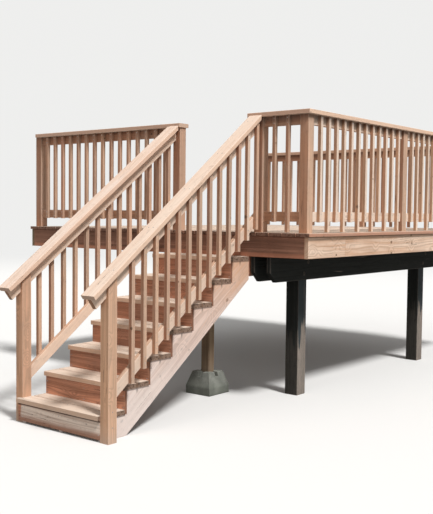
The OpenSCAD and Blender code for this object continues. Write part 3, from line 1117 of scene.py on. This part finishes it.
def timber(
        name, light, dark, other=None, other_share=0.5, top=None, top_share=0.0, side=None, side_share=0.7,
        edge=None, edge_share=0.4, grey=None, grey_share=0.0, knots=0.4, spread=0.45, streaks=0.6,
        rings=0.4, ring=0.009, splash=0.25, splash_share=0.5, sunny=0.0, pale=None, shady=0.0, nosing=0.0,
        capped=0.0, extra=None):
    """Stained timber.

    light and dark are the tones that a board varies between, other a hue that some boards have, top, side,
    edge and grey what the sun, the arrises and the rain turn it into. extra adds a finish's own marks.
    The shares of painted light and shade paint sunlight in the pale colour on faces to -Y, shade on faces
    to -X, and shadow below the deck boards' edge and below the caps.
    """
    material, t, shader = start_material(name)
    board = t.group("Board place")
    grain = t.group("Sawn grain", {"Place": board["Place"], "Ring": ring, "Knots": knots})
    weather = t.group("Weather", {"Splash height": splash})
    m = {socket.name: socket for outputs in (board, grain, weather) for socket in outputs}

    tone = t.plus(t.times(m["Tone"], spread), t.ramp(m["Streaks"], 0.36, 0.64, 0.0, streaks))
    tone = t.stray(tone, m["Blotch"], 0.9, clamp=True)
    base = tint(light)
    if other:
        base = t.cover(base, tint(other), t.ramp(t.chance(m["Tone"], 9.7), 0.25, 1.0, 0.0, other_share))
    colour = t.mix(tone, base, tint(dark))
    colour = t.cover(colour, tint(dark, 0.6), m["Rings"], rings)
    if top:
        fade = t.ramp(m["Streaks"], 0.35, 0.7, top_share, top_share * 0.35)
        colour = t.cover(colour, tint(top), m["Top"], fade)
    if side:
        upright = t.minus(t.minus(1.0, m["Top"]), m["Under"], clamp=True)
        fade = t.ramp(m["Streaks"], 0.3, 0.7, side_share, side_share * 0.7)
        colour = t.cover(colour, tint(side), upright, fade)
    c = palette()
    # painted light and shade: sunlight on faces to -Y, shade on faces to -X, and shadow on the rims' tops
    # below the deck boards and on the railings below the caps
    for mask, share, over in (
            ("Sunny", sunny, tint(pale or c.bleached_and_sunlit)), ("Shady", shady, tint(c.rust, 0.6)),
            ("Nosing", nosing, tint(c.dark, 0.45)), ("Capped", capped, tint(c.dark, 0.35))):
        if share:
            colour = t.cover(colour, over, m[mask], share)
    if grey:
        fade = t.ramp(m["Streaks"], 0.6, 0.4, 0.3, 1.0)
        colour = t.cover(colour, tint(grey), t.ramp(m["Blotch"], 0.4, 0.7), grey_share, fade)
        colour = t.cover(colour, tint(grey), m["Splash"], splash_share)
    # painted shade on downward faces
    colour = darken(t, colour, m, dark, ("Under",))
    if edge:
        colour = t.cover(colour, tint(edge), m["Arris"], edge_share)
    colour = darken(t, colour, m, dark, ("End", "Knot"))
    if extra:
        colour = extra(t, colour, m)
    colour = darken(t, colour, m, dark, ("Crack", "Dirt"))

    relief = t.plus(t.times(m["Rings"], -0.35), t.times(m["Fibres"], 0.5))
    relief = t.minus(relief, t.times(m["Crack"], 1.6))
    relief = t.plus(relief, t.times(m["Knot"], 0.5))
    t.surface(shader, colour, t.ramp(m["Fibres"], 0.25, 0.75, 0.74, 0.93), relief, 0.6, 0.0012)
    shader.inputs["Specular IOR Level"].default_value = 0.08
    return material


def bare_stringer(t, colour, m):
    """A stringer's plank: silvered foot, stained near the deck, runs and painted shadow under each tread.
    """
    c = palette()
    x, _, z = t.split(t.where())
    height = t.stray(t.minus(z, GROUND), m["Streaks"], 0.9)
    colour = t.cover(colour, tint(c.silvered), t.ramp(height, 0.75, 0.15, 0.0, 0.75))
    colour = t.cover(colour, tint(c.tan), t.ramp(height, 0.75, 1.35, 0.0, 0.8))
    # the joint between a tread's two boards, where water runs down
    count = t.math("DIVIDE", t.minus(x, STEPS["joint_x"]), STEPS["run"])
    nearest = t.math("ROUND", count)
    away = t.math("ABSOLUTE", t.times(t.minus(count, nearest), STEPS["run"]))
    below = t.minus(t.plus(t.times(nearest, STEPS["rise"]), STEPS["joint_z"]), z)
    run = t.noise(t.join(t.times(x, 3.0), 0.0, 0.0), scale=40.0, detail=1.0)
    drip = t.times(t.ramp(away, 0.014, 0.005), t.ramp(below, t.times(run, 0.10), 0.0), 0.8)
    # painted shadow: a dark band on the plank just below each tread's level
    tread_shadow = t.times(t.ramp(below, 0.016, 0.003, 0.0, 0.8), t.ramp(below, 0.0, 0.001))
    return t.cover(colour, tint(c.drip), t.math("MAXIMUM", drip, tread_shadow))


def sunlit_rails(t, colour, m):
    """The bottom rails, whose faces to -Y take painted sunlight, paler than on the balusters."""
    rails = t.math("LESS_THAN", m["Tone"], RAIL_TONE + 0.005)
    return t.cover(colour, tint(palette().sun_paled_and_lit), rails, m["Sunny"], 0.6)


def worn_paint(t, colour, m):
    """Paint with painted sunlight on the posts, gone from the arrises and, near the ground, from the grain.
    """
    c = palette()
    foot = STEPS["beam_foot"]
    # painted sunlight: the posts' faces to -Y below the beam take a paler, bluer paint
    posts = t.ramp(t.split(t.where())[2], foot + 0.01, foot - 0.01, 0.0, 0.7)
    colour = t.cover(colour, tint(c.sunlit_paint), m["Sunny"], posts)
    # the paint worn off near the ground is wear; its weighting to the faces to -Y paints sunlight
    gone = t.times(
        t.ramp(t.stray(m["Splash"], m["Streaks"], 1.1), 0.16, 0.26),
        t.ramp(m["Sunny"], 0.0, 1.0, 0.12, 1.0),
        t.ramp(m["Fibres"], 0.62, 0.45, 0.45, 1.0), 0.9)
    colour = t.mix(gone, colour, t.mix(m["Streaks"], tint(c.grey), tint(c.grey, 0.4)))
    return t.cover(colour, tint(c.grey, 0.5), m["Arris"], 0.25)


def trodden(t, colour, m):
    """Tread and deck boards: paler where feet go, dark, open, blotched ends, painted shade on ends to -X.
    """
    c = palette()
    where = t.where()
    off = t.math("ABSOLUTE", t.minus(t.split(where)[1], STEPS["middle_y"]))
    path = t.times(t.ramp(off, 0.42, 0.1), m["Top"], t.ramp(m["Blotch"], 0.3, 0.65, 0.1, 0.4))
    colour = t.cover(colour, tint(c.bleached_and_sunlit), path)
    # painted shade: ends to -X take a darker red-brown than the other ends
    end_colour_with_shade = t.mix(m["Shady"], tint(c.end_grain), tint(c.dark, 0.6))
    colour = t.cover(colour, end_colour_with_shade, m["End"], 0.88)
    blotch = t.ramp(t.noise(where, scale=45.0, detail=3.0), 0.5, 0.62)
    return t.cover(colour, tint(c.dark, 0.2), blotch, m["End"], 0.7)


def toe_board_grey(t, colour, m):
    """The lowest riser: silvered by rain, brown at foot and left end, painted shadow along its top."""
    c = palette()
    _, y, z = t.split(t.where())
    height, top = t.minus(z, GROUND), STEPS["toe_top"]
    lowest = t.ramp(height, top + 0.004, top)
    ragged = t.stray(height, m["Streaks"], 0.12)
    left_end = STEPS["newel_left"] - lumber().newel_reveal
    slanted = t.plus(y, t.times(height, 0.12))
    silver = t.times(
        t.ramp(ragged, 0.03, 0.075, 0.15, 1.0), t.ramp(m["Streaks"], 0.68, 0.5, 0.45, 1.0),
        t.minus(1.0, t.ramp(slanted, left_end - 0.030, left_end - 0.012)))
    pale = t.mix(t.ramp(m["Streaks"], 0.35, 0.65), tint(c.grey, 2.0), tint(c.grey, 1.5))
    colour = t.cover(colour, pale, lowest, silver, 0.9)
    colour = t.cover(colour, tint(c.dark, 0.85), lowest, t.ramp(ragged, 0.085, 0.04, 0.0, 0.65))
    # painted shadow: a dark band along the board's top, under the first tread
    under_tread_shadow = t.ramp(height, top - 0.020, top - 0.011, 0.0, 0.9)
    colour = t.cover(colour, tint(c.dark, 0.35), lowest, under_tread_shadow)
    return t.cover(colour, tint(c.dark, 0.8), m["End"], 0.5)


def pale_foot(t, colour, m):
    """A rim whose lowest strip kept its stain less than the rest."""
    height = t.minus(t.split(t.where())[2], STEPS["rim_foot"])
    strip = t.ramp(height, 0.046, 0.030, 0.0, 0.65)
    return t.cover(colour, tint(palette().rust, 0.95), strip, t.ramp(m["Streaks"], 0.65, 0.4, 0.6, 1.0))


def timber_finishes():
    """What makes each timber finish, by its name."""
    c = palette()
    railing = dict(
        light=c.tan, dark=tint(c.tan, 0.6), other=c.rust, top=c.bleached_and_sunlit, top_share=0.4, edge=c.bleached_and_sunlit,
        edge_share=0.3, grey=c.grey, splash=0.16, splash_share=0.35)
    walked = dict(light=c.worn, knots=0.45, grey=c.grey, grey_share=0.3, extra=trodden)
    return {
        # the railings and newels take painted sunlight on faces to -Y, painted shade on faces to -X and
        # painted shadow below the caps
        "railing_wood": railing | dict(
            dark=tint(c.tan, 0.52), other_share=0.75, grey_share=0.25, knots=0.55, spread=0.5, sunny=0.3,
            shady=0.45, capped=0.75, extra=sunlit_rails),
        # the front railing's lit copy of the railing finish: more painted sunlight, and no painted shade
        "front_wood": railing | dict(
            edge_share=0.35, grey_share=0.2, knots=0.6, spread=0.4, sunny=0.8, pale=c.sun_paled_and_lit, capped=0.75,
            extra=sunlit_rails),
        "newel_wood": railing | dict(grey_share=0.15, knots=0.95, sunny=0.2),
        # painted shade on the caps' faces to -X
        "cap_wood": dict(
            light=c.sun_paled_and_lit, dark=c.cap_streak, other=c.silvered, other_share=0.9, top=c.sun_paled_and_lit,
            top_share=0.5, side=c.cap_side, side_share=0.6, edge=c.bleached_and_sunlit, edge_share=0.45, knots=0.45,
            streaks=0.5, rings=0.35, shady=0.5),
        "riser_wood": dict(
            light=c.red, dark=tint(c.red, 0.48), other=c.rust, edge=c.tan, edge_share=0.25, grey=c.grey,
            grey_share=0.12, knots=0.7, streaks=0.65, splash_share=0.0, extra=toe_board_grey),
        "tread_wood": walked | dict(
            dark=tint(c.worn, 0.65), top=c.sun_paled_and_lit, top_share=0.65, side=tint(c.tan, 0.85), side_share=0.75,
            edge=tint(c.grey, 1.2), edge_share=0.3),
        "deck_wood": walked | dict(
            dark=tint(c.worn, 0.6), top=c.bleached_and_sunlit, top_share=0.3, side=c.rust, side_share=0.85, edge=c.tan,
            edge_share=0.25),
        "stringer_wood": dict(
            light=c.pink, dark=tint(c.pink, 0.7), edge=c.bleached_and_sunlit, edge_share=0.3, knots=0.55, spread=0.2,
            streaks=0.5, rings=0.25, ring=0.014, extra=bare_stringer),
        # the rims take painted shadow along their tops, below the deck boards' edge
        "rim_wood": dict(
            light=tint(c.bleached_and_sunlit, 1.08), dark=tint(c.tan, 0.85), edge=c.tan, grey=c.grey, grey_share=0.2,
            knots=0.85, spread=0.2, streaks=0.65, ring=0.016, nosing=0.7),
        "end_rim_wood": dict(
            light=tint(c.dark, 1.2), dark=tint(c.dark, 0.6), edge=c.rust, edge_share=0.3, knots=0.5,
            spread=0.2, streaks=0.7, rings=0.3, ring=0.014, nosing=0.7, extra=pale_foot),
        "frame_wood": dict(
            light=c.treated, dark=c.treated_dark, grey=tint(c.grey, 0.6), grey_share=0.25, knots=0.6,
            splash=0.3),
        "dark_paint": dict(
            light=tint(c.paint, 1.3), dark=tint(c.paint, 0.7), knots=0.0, spread=0.4, rings=0.2,
            splash=0.76, extra=worn_paint),
    }


def concrete(name):
    """Cast concrete with sand, air holes and a damp foot."""
    c = palette()
    material, t, shader = start_material(name)
    where = t.where()
    weather = t.group("Weather", {"Splash height": 0.12})
    sand = t.noise(where, scale=420.0, detail=3.0, roughness=0.8)
    cloud = t.noise(where, scale=9.0, detail=5.0, roughness=0.6)
    hole = t.add("ShaderNodeTexVoronoi", {"Vector": where, "Scale": 95.0}).outputs["Distance"]
    hole = t.times(t.ramp(hole, 0.22, 0.12), t.ramp(t.noise(where, scale=30.0), 0.55, 0.6))
    colour = t.mix(t.ramp(cloud, 0.3, 0.7), tint(c.concrete, 1.15), tint(c.concrete, 0.62))
    colour = t.cover(colour, tint(c.concrete, 1.7), t.ramp(sand, 0.35, 0.7, 0.0, 0.35))
    colour = t.cover(colour, tint(c.damp), weather["Splash"], 0.6)
    colour = t.cover(colour, tint(c.hole), hole)
    relief = t.minus(t.plus(t.times(sand, 0.4), cloud), hole)
    t.surface(shader, colour, t.ramp(sand, 0.3, 0.7, 0.8, 0.95), relief, 0.6, 0.003)
    shader.inputs["Specular IOR Level"].default_value = 0.12
    return material


def steel(name):
    """Zinc-coated steel, dulled by weather."""
    c = palette()
    material, t, shader = start_material(name)
    where = t.where()
    spangle = t.add("ShaderNodeTexVoronoi", {"Vector": where, "Scale": 160.0})
    dull = t.noise(where, scale=14.0, detail=4.0)
    colour = t.mix(t.split(spangle.outputs["Color"])[0], tint(c.steel, 0.75), tint(c.steel, 1.1))
    colour = t.cover(colour, tint(c.rusted), t.ramp(dull, 0.45, 0.75, 0.0, 0.6))
    t.put(shader.inputs["Metallic"], t.ramp(dull, 0.5, 0.75, 0.85, 0.3))
    t.surface(shader, colour, t.ramp(dull, 0.3, 0.7, 0.45, 0.75), dull, 0.2, 0.0005)
    return material


def finish_material(name):
    """A finish's material, made when first asked for. The frame's plain ones have the bare names."""
    dressed = f"{name}_dressed"
    made = bpy.data.materials.get(dressed)
    if made is not None:
        return made
    if name == "concrete":
        return concrete(dressed)
    if name == "steel_fixings":
        return steel(dressed)
    return timber(dressed, **timber_finishes()[name])


def step_sizes():
    """Rise, run and the places on the flight and the deck that the finishes follow."""
    first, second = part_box("tread_1"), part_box("tread_2")
    boards = solid_boxes("tread_1")
    toe = solid_boxes("riser_boards")[0]
    return {
        "run": second[0].x - first[0].x,
        "rise": second[0].z - first[0].z,
        "joint_x": (boards[0][1].x + boards[1][0].x) / 2,
        "joint_z": first[0].z,
        "middle_y": (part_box("stringer_right")[0].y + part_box("stringer_left")[1].y) / 2,
        "toe_top": toe[1].z - GROUND,
        "newel_left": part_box("newel_left")[1].y,
        "rim_foot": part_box("end_rim_left")[0].z,
        "rim_top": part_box("front_rim")[1].z,
        "beam_foot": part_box("beam_planks")[0].z,
        "cap_low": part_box("cap_front")[0].z,
    }


STEPS = step_sizes()


# stage


def floor_material(settings):
    """A matt floor that takes shadows near the object and fades into the backdrop far from it."""
    material, t, shader = start_material("floor")
    flat = t.stretch(t.where(), (1.0, 1.0, 0.0))
    far = t.ramp(t.length(flat), settings.fade_start, settings.fade_end)
    shader.inputs["Roughness"].default_value = 0.9
    shader.inputs["Specular IOR Level"].default_value = 0.1
    glow = t.add("ShaderNodeEmission", {"Color": tint(settings.backdrop), "Strength": 1.0})
    path = t.add("ShaderNodeLightPath").outputs
    mirrored = t.math("MAXIMUM", path["Is Glossy Ray"], path["Is Transmission Ray"])
    seen = t.math("MAXIMUM", path["Is Camera Ray"], mirrored)
    t.put(shader.inputs["Base Color"], t.mix(seen, tint(settings.bounce), tint(settings.floor)))
    output = material.node_tree.nodes["Material Output"]
    t.blend(t.times(far, seen), shader.outputs[0], glow.outputs[0], output)
    return material


def make_world(settings):
    """Even light, with the backdrop's colour where the camera sees it."""
    world = bpy.data.worlds.new("studio")
    world.use_nodes = True
    bpy.context.scene.world = world
    t = Tree(world.node_tree)
    nodes = world.node_tree.nodes
    light = nodes["Background"]
    light.inputs["Color"].default_value = (1.0, 1.0, 1.0, 1.0)
    light.inputs["Strength"].default_value = settings.ambient
    shown = t.add("ShaderNodeBackground", {"Color": tint(settings.backdrop), "Strength": 1.0})
    path = t.add("ShaderNodeLightPath").outputs
    seen = t.math("MAXIMUM", path["Is Camera Ray"], path["Is Glossy Ray"])
    t.blend(seen, light.outputs[0], shown.outputs[0], nodes["World Output"])


def add_sun(name, towards, strength, softness):
    """A soft light that shines from the given direction."""
    lamp = bpy.data.lights.new(name, "SUN")
    lamp.energy = strength
    lamp.angle = softness
    obj = new_object(name, lamp)
    obj.rotation_mode = "QUATERNION"
    obj.rotation_quaternion = Vector(towards).to_track_quat("Z", "Y")


def add_camera(settings):
    """The view that the photograph was taken from."""
    sensor = 36.0
    data = bpy.data.cameras.new("camera")
    data.sensor_width = sensor
    data.lens = sensor * settings.focal_share
    data.clip_start, data.clip_end = 0.05, 400.0
    data.dof.use_dof = False
    obj = new_object("camera", data)
    obj.matrix_world = (
        Matrix.Translation(settings.camera_place)
        @ Matrix.Rotation(-settings.azimuth, 4, "Z")
        @ Matrix.Rotation(math.pi / 2 + settings.pitch, 4, "X")
        @ Matrix.Rotation(settings.roll, 4, "Z"))
    bpy.context.scene.camera = obj


# operators, one for each group of pieces


class DECK_OT_boards(bpy.types.Operator):
    """Replaces the frame's timbers by boards with eased edges and grain"""

    bl_idname = "deck.boards"
    bl_label = "Timbers"
    bl_options = {"REGISTER", "UNDO"}

    def execute(self, context):
        for node in FINISH_OF:
            dress_node(node)
        return {"FINISHED"}


class DECK_OT_railings(bpy.types.Operator):
    """Builds the rails and balusters of the deck and the stairs"""

    bl_idname = "deck.railings"
    bl_label = "Railing panels"
    bl_options = {"REGISTER", "UNDO"}

    def execute(self, context):
        for node in DECK_PANELS:
            dress_deck_panels(node)
        for railing in stair_railings():
            dress_stair_panel(railing)
        return {"FINISHED"}


class DECK_OT_footing(bpy.types.Operator):
    """Builds the cast footing block"""

    bl_idname = "deck.footing"
    bl_label = "Footing block"
    bl_options = {"REGISTER", "UNDO"}

    def execute(self, context):
        dress_pier()
        return {"FINISHED"}


class DECK_OT_screws(bpy.types.Operator):
    """Sets the screws of the treads, the deck, the railings and the frame"""

    bl_idname = "deck.screws"
    bl_label = "Screws"
    bl_options = {"REGISTER", "UNDO"}

    def execute(self, context):
        for name, places in SCREWS.items():
            set_fixings(name, screw_head(), places())
        return {"FINISHED"}


class DECK_OT_brackets(bpy.types.Operator):
    """Sets the beam's bolts and the hangers of the joists"""

    bl_idname = "deck.brackets"
    bl_label = "Bolts and hangers"
    bl_options = {"REGISTER", "UNDO"}

    def execute(self, context):
        set_fixings("beam_bolts", bolt_head(), beam_bolts(), "dark_paint")
        joist_hangers()
        return {"FINISHED"}


class DECK_OT_stage(bpy.types.Operator):
    """Sets the floor, the lights and the camera"""

    bl_idname = "deck.stage"
    bl_label = "Floor, lights and camera"
    bl_options = {"REGISTER", "UNDO"}

    def execute(self, context):
        settings = context.scene.deck_stage
        just_below = Matrix.Translation((0, 0, GROUND - 0.001))
        bm = bmesh.new()
        bmesh.ops.create_circle(
            bm, cap_ends=True, radius=settings.floor_radius, segments=64, matrix=just_below)
        obj = mesh_object("floor", bm, floor_material(settings))
        make_world(settings)
        add_sun("key", settings.key_from, settings.key, settings.key_softness)
        add_sun("fill", settings.fill_from, settings.fill, settings.fill_softness)
        add_camera(settings)
        context.scene.view_settings.view_transform = "Standard"
        return {"FINISHED"}


class DECK_PT_panel(bpy.types.Panel):
    """Lists the steps that build the deck and its stairs"""

    bl_idname = "DECK_PT_panel"
    bl_label = "Timber deck and stairs"
    bl_space_type = "VIEW_3D"
    bl_region_type = "UI"
    bl_category = "Deck"

    def draw(self, context):
        for operator in STEPS_IN_ORDER:
            self.layout.operator(operator.bl_idname)
        for name in SETTINGS:
            box = self.layout.box()
            group = getattr(context.scene, name)
            for key in group.bl_rna.properties.keys():
                if key not in ("rna_type", "name"):
                    box.prop(group, key)


STEPS_IN_ORDER = (
    DECK_OT_boards, DECK_OT_railings, DECK_OT_footing, DECK_OT_screws, DECK_OT_brackets, DECK_OT_stage)
SETTINGS = {
    "deck_lumber": DeckLumberSizes,
    "deck_railing": DeckRailingLayout,
    "deck_fixings": DeckFixingSizes,
    "deck_colours": DeckColours,
    "deck_stage": DeckStageSettings,
}


def register():
    for group in SETTINGS.values():
        bpy.utils.register_class(group)
    for name, group in SETTINGS.items():
        setattr(bpy.types.Scene, name, bpy.props.PointerProperty(type=group))
    for operator in STEPS_IN_ORDER:
        bpy.utils.register_class(operator)
    bpy.utils.register_class(DECK_PT_panel)


def unregister():
    bpy.utils.unregister_class(DECK_PT_panel)
    for operator in reversed(STEPS_IN_ORDER):
        bpy.utils.unregister_class(operator)
    for name in SETTINGS:
        delattr(bpy.types.Scene, name)
    for group in reversed(list(SETTINGS.values())):
        bpy.utils.unregister_class(group)


def main():
    register()
    for operator in STEPS_IN_ORDER:
        group, name = operator.bl_idname.split(".")
        getattr(getattr(bpy.ops, group), name)()


if __name__ == "__main__":
    main()
